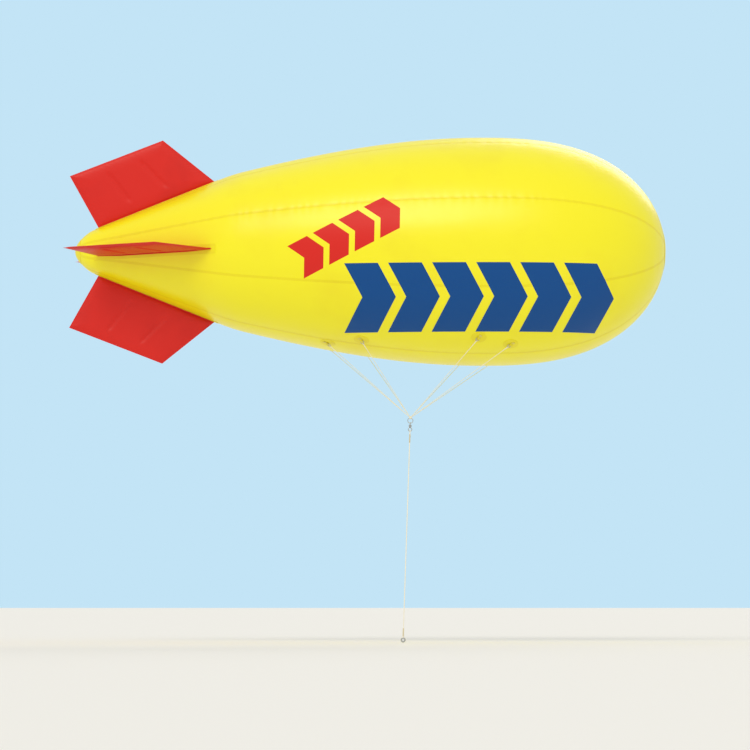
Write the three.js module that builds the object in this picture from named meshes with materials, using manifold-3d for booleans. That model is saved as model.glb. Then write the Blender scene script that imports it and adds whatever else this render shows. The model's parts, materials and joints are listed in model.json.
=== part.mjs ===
// Advertising blimp balloon: a tethered helium balloon with four inflated fins.
// Millimetres, +Z up, nose towards +X, port side towards +Y.
// The origin is the centre of buoyancy, on the hull's axis.
import * as THREE from 'three';
import { mergeVertices } from 'three/addons/utils/BufferGeometryUtils.js';
import Module from 'manifold-3d';

const wasm = await Module();
wasm.setup();

// Hull: stations are measured forward from the tail tip
const HULL_LENGTH = 5000;
const HULL_RADIUS = 967;
const WIDEST_STATION = 3435;
const NOSE_POWER = 2.6;
const CONE_START_RADIUS = 122;
const CONE_SLOPE = 0.4;
const CONE_END = 1330;
const CONE_END_SLOPE = 0.25;
const CONE_END_EASE = 100;
const TAIL_ROUNDING = 158;
const BUOYANCY_STATION = 2950;
const SHELL = 10;
const GORES = 8;
const FACETS = 40;
const LOBE_DEPTH = 0.006;
const POLE_HOLE_RADIUS = 60;

// Gaps between pieces that touch, and thin pieces welded on the film
const GAP = 0.3;
const PATCH_THICK = 3;
const NOSE_CAP_RADIUS = 150;
const TAIL_CAP_RADIUS = 112;

// Fins: stations and radii of the corners
const FIN = {
  rearRoot: [195, 199], frontRoot: [1179, 577],
  leadingTip: [738, 950], trailingTip: [-51, 645],
  edge: 7, full: 34, rootOverlap: 0.09,
};
const SIDE_FIN_DROP = 60;
const SIDE_FIN_RISE = 3;
const ROOT_STRIP = { from: 172, to: 1212, width: 80 };

// Rigging
const LEG_DIAMETER = 5;
const TETHER_DIAMETER = 8;
const RING = { station: 2839, z: -1433, radius: 22, wire: 3 };
const TETHER_FOOT = { station: 2776, z: -3306 };
const KNOT = { height: 24, radius: 12, stub: 24 };
const EYE = { radius: 15, wire: 3.2 };
const PATCH_RADIUS = 65;
const DEE = { radius: 15, wire: 2.5, lift: 9 };
// Load patches of one side: name, station, angle from the keel in degrees
const LOAD_POINTS = [
  ['aft', 2142, 17.9],
  ['mid_aft', 2427, 27.9],
  ['mid_fore', 3402, 37.2],
  ['fore', 3669, 31.5],
];

// Filling valve, low on the port side between two fins
const VALVE = {
  station: 760, angle: 45, flange: 55, neck: 20, neckHeight: 22,
  cap: 28, capBase: 9, capTop: 27,
};

const rad = THREE.MathUtils.degToRad;
const X = (station) => station - BUOYANCY_STATION;

// Materials
const material = (color, roughness, metalness = 0) =>
  new THREE.MeshStandardMaterial({ color, roughness, metalness });
const yellowFilm = material('#fff200', 0.3);
const redFilm = material('#da251d', 0.35);
const whiteCord = material('#e9e4cf', 0.85);
const steel = material('#b9bec2', 0.3, 1);
const whitePlastic = material('#e6e4dc', 0.45);

// Radius of the hull at a station: rounded tail, straight cone, swell, blunt nose,
// with the bend between cone and swell eased on both sides
function hullRadius(s) {
  const near = Math.max(CONE_END_EASE - Math.abs(s - CONE_END), 0);
  const eased = (CONE_SLOPE - CONE_END_SLOPE) * near * near / (4 * CONE_END_EASE);
  if (s <= CONE_END) {
    const cone = CONE_START_RADIUS + CONE_SLOPE * s;
    const u = 1 - Math.min(Math.max(s, 0) / TAIL_ROUNDING, 1);
    return cone * Math.sqrt(1 - u * u) - eased;
  }
  if (s < WIDEST_STATION) {
    const h = WIDEST_STATION - CONE_END;
    const t = (s - CONE_END) / h;
    const start = CONE_START_RADIUS + CONE_SLOPE * CONE_END;
    return (2 * t ** 3 - 3 * t ** 2 + 1) * start
      + (t ** 3 - 2 * t ** 2 + t) * h * CONE_END_SLOPE
      + (3 * t ** 2 - 2 * t ** 3) * HULL_RADIUS - eased;
  }
  const u = Math.min((s - WIDEST_STATION) / (HULL_LENGTH - WIDEST_STATION), 1);
  return HULL_RADIUS * Math.sqrt(Math.max(1 - u ** NOSE_POWER, 0));
}

// Stations where the hull's outline has a corner
function hullStations() {
  const tail = [0, 6, 22, 50, 95, TAIL_ROUNDING];
  const bend = [CONE_END - CONE_END_EASE, CONE_END, CONE_END + CONE_END_EASE];
  const steps = 9;
  const middle = Array.from({ length: steps }, (_, i) =>
    CONE_END + (WIDEST_STATION - CONE_END) * (i + 1) / steps);
  const nose = [0.2, 0.38, 0.53, 0.66, 0.76, 0.84, 0.9, 0.945, 0.975, 0.993, 1]
    .map((u) => WIDEST_STATION + u * (HULL_LENGTH - WIDEST_STATION));
  return [...tail, ...bend, ...middle, ...nose];
}

// Outline at a distance outside the hull, as lathe points (radius, station)
function hullOutline(offset) {
  return hullStations().map((s) => {
    if (s === 0) return new THREE.Vector2(0, -offset);
    if (s === HULL_LENGTH) return new THREE.Vector2(0, HULL_LENGTH + offset);
    const e = Math.min(1, s / 2, (HULL_LENGTH - s) / 2);
    const slope = (hullRadius(s + e) - hullRadius(s - e)) / (2 * e);
    const n = Math.hypot(1, slope);
    return new THREE.Vector2(hullRadius(s) + offset / n, s - offset * slope / n);
  });
}

// Geometry to solid and back, with merged corners and faces turned outwards
function toSolid(geometry) {
  const bare = geometry.clone();
  for (const name of Object.keys(bare.attributes)) {
    if (name !== 'position') bare.deleteAttribute(name);
  }
  const merged = mergeVertices(bare, 1e-4);
  const p = merged.attributes.position.array;
  const index = [];
  let volume = 0;
  for (let i = 0; i < merged.index.count; i += 3) {
    const [a, b, c] = [0, 1, 2].map((k) => merged.index.getX(i + k));
    if (a === b || b === c || a === c) continue;
    index.push(a, b, c);
    const [A, B, C] = [a, b, c].map((k) => new THREE.Vector3(p[3 * k], p[3 * k + 1], p[3 * k + 2]));
    volume += A.dot(B.cross(C));
  }
  if (volume < 0) index.reverse();
  return new wasm.Manifold(new wasm.Mesh({
    numProp: 3, vertProperties: new Float32Array(p), triVerts: new Uint32Array(index),
  }));
}

function toGeometry(solid) {
  const mesh = solid.getMesh();
  const geometry = new THREE.BufferGeometry();
  geometry.setAttribute('position', new THREE.BufferAttribute(mesh.vertProperties, 3));
  geometry.setIndex(new THREE.BufferAttribute(mesh.triVerts, 1));
  geometry.computeVertexNormals();
  return geometry;
}

// Each gore swells a little between its seams, less towards the poles
function lobe(r, angle) {
  const turn = angle / (2 * Math.PI) * GORES;
  const off = 2 * Math.abs(turn - Math.round(turn));
  return r * (1 - LOBE_DEPTH * off * off * Math.min(r / 300, 1));
}

// The hull's axis is the lathe's
function turned(points, sides) {
  const geometry = new THREE.LatheGeometry(points, sides);
  geometry.rotateZ(-Math.PI / 2);
  geometry.translate(X(0), 0, 0);
  const p = geometry.attributes.position;
  for (let i = 0; i < p.count; i++) {
    const r = Math.hypot(p.getY(i), p.getZ(i));
    if (r < 1e-6) continue;
    const k = lobe(r, Math.atan2(p.getZ(i), p.getY(i))) / r;
    p.setXYZ(i, p.getX(i), p.getY(i) * k, p.getZ(i) * k);
  }
  return toSolid(geometry);
}

const hullSolids = new Map();
function hullSolid(offset) {
  if (!hullSolids.has(offset)) {
    hullSolids.set(offset, turned(hullOutline(offset), FACETS));
  }
  return hullSolids.get(offset);
}

// A film of a thickness lying on the hull, where a cutter reaches
function filmOnHull(cutter, thick) {
  return hullSolid(GAP + thick).subtract(hullSolid(GAP)).intersect(cutter);
}

// A straight bar or disc between two points
function bar(from, to, radius, sides) {
  const length = from.distanceTo(to);
  const geometry = new THREE.CylinderGeometry(radius, radius, length, sides);
  const turn = new THREE.Quaternion().setFromUnitVectors(
    new THREE.Vector3(0, 1, 0), to.clone().sub(from).normalize());
  geometry.applyQuaternion(turn);
  const middle = from.clone().add(to).multiplyScalar(0.5);
  return geometry.translate(middle.x, middle.y, middle.z);
}

// A round ring about a centre and an axis
function ringSolid(centre, axis, radius, wire, around = 20, section = 8) {
  const points = Array.from({ length: section + 1 }, (_, i) => {
    const a = 2 * Math.PI * (i % section) / section;
    return new THREE.Vector2(radius + wire * Math.cos(a), wire * Math.sin(a));
  });
  const geometry = new THREE.LatheGeometry(points, around);
  geometry.applyQuaternion(new THREE.Quaternion().setFromUnitVectors(
    new THREE.Vector3(0, 1, 0), axis));
  geometry.translate(centre.x, centre.y, centre.z);
  return toSolid(geometry);
}

// A point of the faceted surface and the outward direction there
function hullPoint(station, angleFromKeel, side) {
  const a = rad(angleFromKeel);
  const step = 2 * Math.PI / FACETS;
  const a1 = Math.floor(a / step) * step;
  const [r1, r2] = [a1, a1 + step].map((angle) => lobe(hullRadius(station), angle));
  const radius = r1 * r2 * Math.sin(step)
    / (r1 * Math.sin(a - a1) + r2 * Math.sin(a1 + step - a));
  const out = new THREE.Vector3(0, side * Math.sin(a), -Math.cos(a));
  const slope = (hullRadius(station + 1) - hullRadius(station - 1)) / 2;
  const point = out.clone().multiplyScalar(radius).setX(X(station));
  const normal = out.clone().setX(-slope).normalize();
  return { point, normal };
}

const blimp = new THREE.Group();
function add(name, solid, mat, parent = blimp) {
  const mesh = new THREE.Mesh(solid instanceof THREE.BufferGeometry ? solid : toGeometry(solid), mat);
  mesh.name = name;
  parent.add(mesh);
  return mesh;
}

// Gores: eight panels of the shell, each between two lengthwise seams
function addGores() {
  const poleHole = toSolid(bar(new THREE.Vector3(X(-50), 0, 0),
    new THREE.Vector3(X(HULL_LENGTH + 50), 0, 0), POLE_HOLE_RADIUS, 20));
  const shell = hullSolid(0).subtract(hullSolid(-SHELL)).subtract(poleHole);
  const half = Math.PI / GORES;
  const reach = 1300;
  const inset = GAP / 2 / Math.sin(half);
  const wedge = new THREE.Shape([
    new THREE.Vector2(inset, 0),
    new THREE.Vector2(inset + reach * Math.cos(half), -reach * Math.sin(half)),
    new THREE.Vector2(inset + reach * Math.cos(half), reach * Math.sin(half)),
  ]);
  for (let i = 0; i < GORES; i++) {
    const cut = new THREE.ExtrudeGeometry(wedge, { depth: HULL_LENGTH + 100, bevelEnabled: false });
    cut.rotateY(Math.PI / 2);
    cut.rotateX(2 * Math.PI * i / GORES);
    cut.translate(X(-50), 0, 0);
    add(`gore_${i + 1}`, shell.intersect(toSolid(cut)), yellowFilm);
  }
}

// Doubler discs that close the gores' ends, each with a plug in the pole hole
function addPoleCap(name, station, inward, radius) {
  const at = (d) => new THREE.Vector3(X(station + inward * d), 0, 0);
  const disc = filmOnHull(toSolid(bar(at(-50), at(120), radius, 24)), PATCH_THICK);
  const plug = toSolid(bar(at(-GAP - 1), at(SHELL + 2), POLE_HOLE_RADIUS - GAP, 20));
  add(name, disc.add(plug), yellowFilm);
}

// Fins: pillows on a flat four-sided plan, thin at the welded edges
function finGeometry() {
  const blocks = { chord: 8, span: 6 };
  const geometry = new THREE.BoxGeometry(1, 1, 1, blocks.chord, 1, blocks.span);
  const p = geometry.attributes.position;
  const mix = (a, b, t) => [a[0] + (b[0] - a[0]) * t, a[1] + (b[1] - a[1]) * t];
  for (let i = 0; i < p.count; i++) {
    const u = p.getX(i) + 0.5;
    const v = p.getZ(i) + 0.5;
    const root = mix(FIN.rearRoot, FIN.frontRoot, u);
    const tip = mix(FIN.trailingTip, FIN.leadingTip, u);
    const [s, r] = mix(root, tip, v * (1 + FIN.rootOverlap) - FIN.rootOverlap);
    const swell = Math.sqrt(Math.max(Math.sin(Math.PI * u) * Math.sin(Math.PI * v), 0));
    const thick = FIN.edge + (FIN.full - FIN.edge) * swell;
    p.setXYZ(i, X(s), p.getY(i) * thick, r);
  }
  return geometry;
}

// Name, turn about the hull's axis in degrees, drop below the hull's middle
const FINS = [
  ['top', 0, 0],
  ['starboard', 90 - SIDE_FIN_RISE, SIDE_FIN_DROP],
  ['bottom', 180, 0],
  ['port', 270 + SIDE_FIN_RISE, SIDE_FIN_DROP],
];
function addFins() {
  for (const [name, turn, drop] of FINS) {
    const place = (geometry) => toSolid(geometry.rotateX(rad(turn)).translate(0, 0, -drop));
    add(`fin_${name}`, place(finGeometry()).subtract(hullSolid(PATCH_THICK + 2 * GAP)), redFilm);
    const { from, to, width } = ROOT_STRIP;
    const cutter = new THREE.BoxGeometry(to - from, width, 900);
    cutter.translate(X((from + to) / 2), 0, 450);
    add(`fin_root_${name}`, filmOnHull(place(cutter), PATCH_THICK), yellowFilm);
  }
}

// Load patches, each with a webbing keeper and a steel dee, and the cord from it
const ringCentre = new THREE.Vector3(X(RING.station), 0, RING.z);
const tetherFoot = new THREE.Vector3(X(TETHER_FOOT.station), 0, TETHER_FOOT.z);
const tetherDown = tetherFoot.clone().sub(ringCentre).normalize();
const knotCentre = ringCentre.clone().addScaledVector(tetherDown, -KNOT.height);

function loadPoint(station, angle, side) {
  const { point, normal } = hullPoint(station, angle, side);
  const base = point.clone().addScaledVector(normal, DEE.lift);
  const pull = knotCentre.clone().sub(base).normalize();
  const across = normal.clone().cross(pull).normalize();
  const flat = across.clone().cross(normal).normalize();
  const legStart = base.clone().addScaledVector(pull, 2 * DEE.radius + DEE.wire + GAP);
  return { point, normal, base, pull, across, flat, legStart };
}

function patchSolid({ point, normal, base, pull, across, flat }) {
  const disc = filmOnHull(toSolid(bar(point.clone().addScaledVector(normal, -60),
    point.clone().addScaledVector(normal, 60), PATCH_RADIUS, 20)), PATCH_THICK);
  const keeper = new THREE.BoxGeometry(44, 26, 14);
  keeper.applyMatrix4(new THREE.Matrix4().makeBasis(flat, across, normal));
  const seat = point.clone().addScaledVector(normal, DEE.lift - 3).addScaledVector(flat, -16);
  keeper.translate(seat.x, seat.y, seat.z);
  const dee = ringSolid(base.clone().addScaledVector(pull, DEE.radius),
    pull.clone().cross(across).normalize(), DEE.radius, DEE.wire, 14, 6);
  return disc.add(toSolid(keeper)).add(dee).subtract(hullSolid(GAP));
}

function addBridle() {
  let knot = toSolid(new THREE.SphereGeometry(KNOT.radius, 12, 8)
    .translate(knotCentre.x, knotCentre.y, knotCentre.z));
  for (const [sideName, side] of [['stbd', -1], ['port', 1]]) {
    for (const [name, station, angle] of LOAD_POINTS) {
      const load = loadPoint(station, angle, side);
      const knotEnd = (d) => knotCentre.clone().addScaledVector(load.pull, -d);
      add(`patch_${name}_${sideName}`, patchSolid(load), yellowFilm);
      add(`leg_${name}_${sideName}`,
        bar(load.legStart, knotEnd(KNOT.stub + GAP), LEG_DIAMETER / 2, 8), whiteCord);
      knot = knot.add(toSolid(bar(knotEnd(KNOT.stub), knotEnd(0), LEG_DIAMETER / 2, 6)));
    }
  }
  const sideways = new THREE.Vector3(0, 1, 0);
  const room = ringSolid(ringCentre, sideways, RING.radius, RING.wire + 2 * GAP, 24, 8);
  add('bridle_knot', knot.subtract(room), whiteCord);
  add('load_ring', ringSolid(ringCentre, sideways, RING.radius, RING.wire, 24, 8), steel);
}

// Swivel and tether hang in a group whose -Z runs down the taut line
function addTether() {
  const line = new THREE.Group();
  line.position.copy(ringCentre);
  line.rotation.y = Math.atan2(-tetherDown.x, -tetherDown.z);
  blimp.add(line);
  const at = (z) => new THREE.Vector3(0, 0, z);
  const alongX = new THREE.Vector3(1, 0, 0);
  const alongY = new THREE.Vector3(0, 1, 0);
  const post = (z0, z1, r, sides) => toSolid(bar(at(z0), at(z1), r, sides));

  // Upper half: an eye over the ring and a collar with a bore
  const upper = -RING.radius + RING.wire + EYE.wire + GAP - EYE.radius;
  const collar = post(upper - 6, upper - 22, 12, 24);
  const eye = ringSolid(at(upper), alongX, EYE.radius, EYE.wire, 20, 8);
  add('swivel_upper', collar.add(eye)
    .subtract(post(upper - 6, upper + 2, 8.5, 16))
    .subtract(post(upper, upper - 30, 4.6, 16)), steel, line);

  // Lower half: a headed shank through the bore, a flange and an eye
  const lower = upper - 28.3 - EYE.radius - 1;
  add('swivel_lower', post(upper - 1.7, upper - 5.7, 7.5, 16)
    .add(post(upper - 4, upper - 24, 4.2, 16))
    .add(post(upper - 22.3, upper - 28.3, 10, 24))
    .add(ringSolid(at(lower), alongY, EYE.radius, EYE.wire, 20, 8)), steel, line);

  // Tether: a straight line between two eyes, their splices under whippings
  const cord = TETHER_DIAMETER / 2;
  const topLoop = 14;
  const footLoop = 20;
  const splice = 50;
  const topCentre = lower - EYE.radius + EYE.wire + cord + GAP - topLoop;
  const footCentre = -tetherFoot.distanceTo(ringCentre) + footLoop + cord;
  const topEnd = topCentre - topLoop - splice;
  const footEnd = footCentre + footLoop + splice;
  add('tether_line', post(topEnd - GAP, footEnd + GAP, cord, 8), whiteCord, line);
  add('tether_eye_top', ringSolid(at(topCentre), alongX, topLoop, cord, 16, 8)
    .add(post(topCentre - topLoop + 2, topEnd, cord, 8)), whiteCord, line);
  add('tether_eye_foot', ringSolid(at(footCentre), alongY, footLoop, cord, 20, 8)
    .add(post(footCentre + footLoop - 2, footEnd, cord, 8)), whiteCord, line);
  const sleeve = (z, name) => {
    const bore = post(z + 40, z - 40, cord + GAP, 16);
    add(name, post(z + 35, z - 35, cord + 2.5, 16).subtract(bore), whiteCord, line);
  };
  sleeve(topEnd + 8, 'tether_whipping_top');
  sleeve(footEnd - 8, 'tether_whipping_foot');

  // Grooved thimble in the lower loop: radius and place along its axis
  const groove = footLoop - cord - GAP;
  const profile = [[8, -7], [21, -7], [21, -4.6], [groove, -4.6], [groove, 4.6], [21, 4.6],
    [21, 7], [8, 7], [8, -7]].map(([r, y]) => new THREE.Vector2(r, y));
  add('tether_thimble', toSolid(new THREE.LatheGeometry(profile, 20)
    .translate(0, 0, footCentre)), steel, line);
}

// Filling valve with its screw cap
function addValve() {
  const { point, normal } = hullPoint(VALVE.station, VALVE.angle, 1);
  const out = (d) => point.clone().addScaledVector(normal, d);
  const tube = (d0, d1, r, sides = 20) => toSolid(bar(out(d0), out(d1), r, sides));
  const flange = filmOnHull(tube(-60, 60, VALVE.flange, 24), PATCH_THICK);
  const body = tube(-20, VALVE.neckHeight, VALVE.neck).subtract(hullSolid(GAP));
  add('valve_body', flange.add(body), whitePlastic);
  const well = tube(VALVE.capBase - 5, VALVE.neckHeight + GAP, VALVE.neck + 2 * GAP);
  add('valve_cap', tube(VALVE.capBase, VALVE.capTop, VALVE.cap).subtract(well), whitePlastic);
}

addGores();
addPoleCap('nose_cap', HULL_LENGTH, -1, NOSE_CAP_RADIUS);
addPoleCap('tail_cap', 0, 1, TAIL_CAP_RADIUS);
addFins();
addBridle();
addTether();
addValve();

export default blimp;
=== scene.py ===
# %% [markdown]
# # A tethered advertising blimp
# A helium blimp of this size is a bag of coated film. Eight lengthwise gores make
# the teardrop hull, four welded pillows make the fins, and cords carry the pull
# down to one steel ring and the tether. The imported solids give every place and
# size, and each step here lays the finer, softer shape over them.

# %% Load the solids
import json
import math
from bisect import bisect_right
from collections import namedtuple
import bpy
from mathutils import Matrix, Quaternion, Vector
from mathutils.noise import noise

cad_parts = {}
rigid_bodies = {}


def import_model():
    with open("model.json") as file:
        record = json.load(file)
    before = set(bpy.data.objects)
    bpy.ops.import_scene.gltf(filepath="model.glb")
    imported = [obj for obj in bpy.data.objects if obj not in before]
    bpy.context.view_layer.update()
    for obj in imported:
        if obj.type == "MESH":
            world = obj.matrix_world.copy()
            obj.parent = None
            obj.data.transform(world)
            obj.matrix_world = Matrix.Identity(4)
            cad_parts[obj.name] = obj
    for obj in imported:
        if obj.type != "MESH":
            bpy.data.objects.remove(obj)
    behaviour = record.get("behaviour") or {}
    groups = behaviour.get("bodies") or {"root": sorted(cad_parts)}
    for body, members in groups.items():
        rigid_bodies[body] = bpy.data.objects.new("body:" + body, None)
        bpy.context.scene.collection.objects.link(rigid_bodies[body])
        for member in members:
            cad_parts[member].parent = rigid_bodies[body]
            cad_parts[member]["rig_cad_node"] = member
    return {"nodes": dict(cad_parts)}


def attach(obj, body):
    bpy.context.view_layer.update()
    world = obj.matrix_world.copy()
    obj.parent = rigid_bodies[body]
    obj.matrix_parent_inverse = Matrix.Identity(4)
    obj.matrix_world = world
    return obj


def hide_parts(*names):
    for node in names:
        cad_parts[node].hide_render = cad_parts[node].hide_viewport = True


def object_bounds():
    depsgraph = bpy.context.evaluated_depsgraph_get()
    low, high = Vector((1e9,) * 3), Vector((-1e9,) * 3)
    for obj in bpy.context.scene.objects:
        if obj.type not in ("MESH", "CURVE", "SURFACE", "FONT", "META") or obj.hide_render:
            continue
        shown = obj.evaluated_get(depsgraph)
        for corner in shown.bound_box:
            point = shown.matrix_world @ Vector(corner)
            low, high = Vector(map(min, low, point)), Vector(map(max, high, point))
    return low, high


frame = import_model()
cad_box = [list(corner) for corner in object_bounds()]
mm = 0.001
print("solids:", len(frame["nodes"]), "box:", cad_box)

# %% [markdown]
# ## Camera and floor
# The picture looks up at the hull from far away, with the tether's foot near the
# horizon. A short lens close by would swell the near fin and thin the far one. A
# long lens just above the floor keeps the hull's true outline, and the floor
# shrinks to a narrow band under it.

# %% Camera
FLOOR = cad_box[0][2]
CAMERA_AFT, CAMERA_AWAY, CAMERA_HEIGHT = 0.41, 31.5, 0.3
CAMERA_TILT, LENS = 93.56, 179.0
bpy.ops.object.camera_add(location=(-CAMERA_AFT, -CAMERA_AWAY, FLOOR + CAMERA_HEIGHT),
                          rotation=(math.radians(CAMERA_TILT), 0, 0))
camera = bpy.context.object
camera.name = "camera"
camera.data.sensor_width = 36
camera.data.lens = LENS
camera.data.clip_end = 5000
bpy.context.scene.camera = camera
print("camera:", LENS, "mm lens,", CAMERA_HEIGHT, "m above the floor")

# %% [markdown]
# ## Colour and node helpers
# Colour charts for film and ink give sRGB hex values, while the shader works in
# linear light, so one function turns them. Nodes could be set up one by one in
# the shader editor. Here one function adds a node with its settings and links,
# and one plugs a pattern into the shader, so a material reads as a short list.

# %% Helpers for materials
def linear(code):
    """An sRGB hex colour as linear RGBA."""
    parts = [int(code[i:i + 2], 16) / 255 for i in (1, 3, 5)]
    return [p / 12.92 if p <= 0.04045 else ((p + 0.055) / 1.055) ** 2.4 for p in parts] + [1]


def add_node(owner, kind, settings=None, links=None):
    """A node, its settings by name, and what feeds its inputs."""
    tree = owner.node_tree
    made = tree.nodes.new("ShaderNode" + kind)
    for name, value in (settings or {}).items():
        if isinstance(name, str) and hasattr(made, name):
            setattr(made, name, value)
        else:
            made.inputs[name].default_value = value
    for name, source in (links or {}).items():
        tree.links.new(source, made.inputs[name])
    return made


def new_material(name, **shader):
    """A material with one Principled shader; words in shader set its sockets."""
    material = bpy.data.materials.new(name)
    material.use_nodes = True
    surface = material.node_tree.nodes["Principled BSDF"]
    for socket, value in shader.items():
        surface.inputs[socket.replace("_", " ")].default_value = value
    material.diffuse_color = shader["Base_Color"]
    return material


def feed(material, socket, output):
    """Plugs an output into a socket of the material's Principled shader."""
    surface = material.node_tree.nodes["Principled BSDF"]
    material.node_tree.links.new(output, surface.inputs[socket])


print("middle grey in linear light:", round(linear("#808080")[0], 3))

# %% [markdown]
# ## Coated film
# The hull and fins are woven polyester coated with soft PVC and welded. The
# coating is glossy but never flat: it carries a slow unevenness from the rollers,
# about a hand wide, and the square grid of the woven scrim below it. Both are
# shallower than a tenth of a millimetre, so they are bump here: as real faces,
# they would take millions.

# %% Film materials
ROLLER_WAVE = 125 * mm
# The real yarns lie 1.2 mm apart; they are drawn coarser so that they show close by
YARN_SPACING = 2.4 * mm


def film_material(name, colour, deep, shine, gloss_from, gloss_to):
    """Coated film: roller unevenness, woven scrim and a slightly patchy gloss."""
    material = new_material(
        name, Base_Color=linear(colour), IOR=1.52, Specular_IOR_Level=shine,
        Coat_Weight=shine / 3, Coat_Roughness=0.2)
    spots = add_node(material, "TexCoord")
    place, uv = spots.outputs["Object"], spots.outputs["UV"]
    waves = add_node(material, "TexNoise", {"Scale": 1 / ROLLER_WAVE, "Detail": 2.0},
                     {"Vector": place})
    # The yarns run along and across each cut piece; a wave of scale 1 is pi / 10 m long
    yarns = [add_node(material, "TexWave",
                      {"Scale": math.pi / 10 / YARN_SPACING, "bands_direction": way},
                      {"Vector": uv}).outputs["Fac"] for way in ("X", "Y")]
    scrim = add_node(material, "Math", {"operation": "MAXIMUM"}, {0: yarns[0], 1: yarns[1]})
    # A deeper tone in patches of about half a metre
    tint = add_node(material, "TexNoise", {"Scale": 2.2, "Detail": 3.0}, {"Vector": place})
    level = add_node(material, "MapRange", {"From Min": 0.25, "From Max": 0.5},
                     {"Value": tint.outputs["Fac"]})
    tone = add_node(material, "Mix", {"data_type": "RGBA", 6: linear(deep), 7: linear(colour)},
                    {0: level.outputs["Result"]})
    gloss = add_node(material, "MapRange", {"To Min": gloss_from, "To Max": gloss_to},
                     {"Value": waves.outputs["Fac"]})
    low = add_node(material, "Bump", {"Strength": 0.3, "Distance": 4 * mm},
                   {"Height": waves.outputs["Fac"]})
    fine = add_node(material, "Bump", {"Strength": 0.45, "Distance": 0.2 * mm},
                    {"Height": scrim.outputs[0], "Normal": low.outputs["Normal"]})
    feed(material, "Base Color", tone.outputs[2])
    feed(material, "Roughness", gloss.outputs["Result"])
    feed(material, "Normal", fine.outputs["Normal"])
    return material


# The hull's film is calendered glossy, and the fins' film is left satin. Two
# layers welded together let less light through and look a little deeper
yellow_film = film_material("pvc_coated_film_yellow", "#faf000", "#f6e900", 0.45, 0.28, 0.38)
double_film = film_material("pvc_coated_film_yellow_double", "#f3e500", "#eedd00", 0.4, 0.3, 0.4)
red_film = film_material("pvc_coated_film_red", "#da251c", "#cf2018", 0.22, 0.38, 0.5)
print("film materials:", yellow_film.name, double_film.name, red_film.name)

# %% [markdown]
# ## Screen ink
# The arrowheads on the flanks are printed in screen ink. It dries a little less
# glossy than the film, and the squeegee pulls it into faint streaks. A noise that
# is drawn out one way gives such streaks without a picture of them.

# %% Ink materials
STREAK_LENGTH, STREAK_WIDTH = 250 * mm, 12.5 * mm


def ink_material(name, colour):
    """Screen ink: satin, with faint streaks along the pull."""
    material = new_material(name, Base_Color=linear(colour), IOR=1.5, Specular_IOR_Level=0.25)
    place = add_node(material, "TexCoord").outputs["Object"]
    drawn_out = (1 / STREAK_LENGTH, 1 / STREAK_WIDTH, 1 / STREAK_WIDTH)
    pull = add_node(material, "Mapping", {"Scale": drawn_out}, {"Vector": place})
    streaks = add_node(material, "TexNoise", {"Scale": 1.0, "Detail": 2.0},
                       {"Vector": pull.outputs["Vector"]})
    gloss = add_node(material, "MapRange", {"To Min": 0.36, "To Max": 0.5},
                     {"Value": streaks.outputs["Fac"]})
    bump = add_node(material, "Bump", {"Strength": 0.1, "Distance": 0.5 * mm},
                    {"Height": streaks.outputs["Fac"]})
    feed(material, "Roughness", gloss.outputs["Result"])
    feed(material, "Normal", bump.outputs["Normal"])
    return material


blue_ink = ink_material("screen_ink_blue", "#004a8f")
red_ink = ink_material("screen_ink_red", "#da251c")
print("ink materials:", blue_ink.name, red_ink.name)

# %% [markdown]
# ## Braided cord and webbing
# The bridle and tether are polyester braid, and the keepers are nylon webbing. In
# both, two sets of strands pass over and under each other, which the eye reads as
# small herringbones or squares. Modelled strand by strand, one cord would take
# more faces than the hull. A pattern on the piece's own UV map, which runs in
# metres along it, keeps its size on a short leg and on the long tether alike.

# %% Braid and webbing materials
def weave_material(name, colour, gap_shade_colour, strands, pitch, tilt=1.0):
    """Two sets of strands that pass over and under each other by turns.

    UV runs once round or across the piece in U and in metres along it in V; tilt is
    1 where both sets lean, as in a braid, and 0 where they cross square, as in webbing.
    """
    material = new_material(name, Base_Color=linear(colour), Roughness=0.78, Sheen_Weight=0.3)
    uv = add_node(material, "TexCoord").outputs["UV"]
    split = add_node(material, "SeparateXYZ", {}, {"Vector": uv})
    around = add_node(material, "Math", {"operation": "MULTIPLY", 1: strands},
                      {0: split.outputs["X"]}).outputs[0]
    along = add_node(material, "Math", {"operation": "MULTIPLY", 1: 1 / pitch},
                     {0: split.outputs["Y"]}).outputs[0]
    first = add_node(material, "Math", {"operation": "MULTIPLY_ADD", 1: tilt},
                     {0: along, 2: around}).outputs[0]
    other = add_node(material, "Math", {"operation": "MULTIPLY_ADD", 1: -tilt},
                     {0: around, 2: along}).outputs[0]
    cells = add_node(material, "CombineXYZ", {}, {"X": first, "Y": other}).outputs[0]
    turns = add_node(material, "TexChecker", {"Scale": 1.0}, {"Vector": cells})
    rounds = [add_node(material, "Math", {"operation": "PINGPONG", 1: 0.5}, {0: source}).outputs[0]
              for source in (first, other)]
    top = add_node(material, "Mix", {}, {0: turns.outputs["Fac"], 2: rounds[0], 3: rounds[1]})
    # Painted shade: the colour goes darker towards each strand's edge, in the grooves between strands
    level = add_node(material, "MapRange", {"From Max": 0.22}, {"Value": top.outputs[0]})
    shade = add_node(material, "Mix", {"data_type": "RGBA", 6: linear(gap_shade_colour), 7: linear(colour)},
                     {0: level.outputs["Result"]})
    bump = add_node(material, "Bump", {"Strength": 0.8, "Distance": 1.2 * mm},
                    {"Height": top.outputs[0]})
    feed(material, "Base Color", shade.outputs[2])
    feed(material, "Normal", bump.outputs["Normal"])
    return material


# The second colour of each is the painted shade in the grooves between strands
leg_braid = weave_material("polyester_braid_leg", "#fdf9e9", "#d8d0b4", 4, 5 * mm)
tether_braid = weave_material("polyester_braid_tether", "#fdf9e9", "#d8d0b4", 6, 6 * mm)
webbing = weave_material("nylon_webbing_yellow", "#f4e400", "#c4b200", 14, 2 * mm, 0)
print("woven materials:", leg_braid.name, tether_braid.name, webbing.name)

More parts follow.
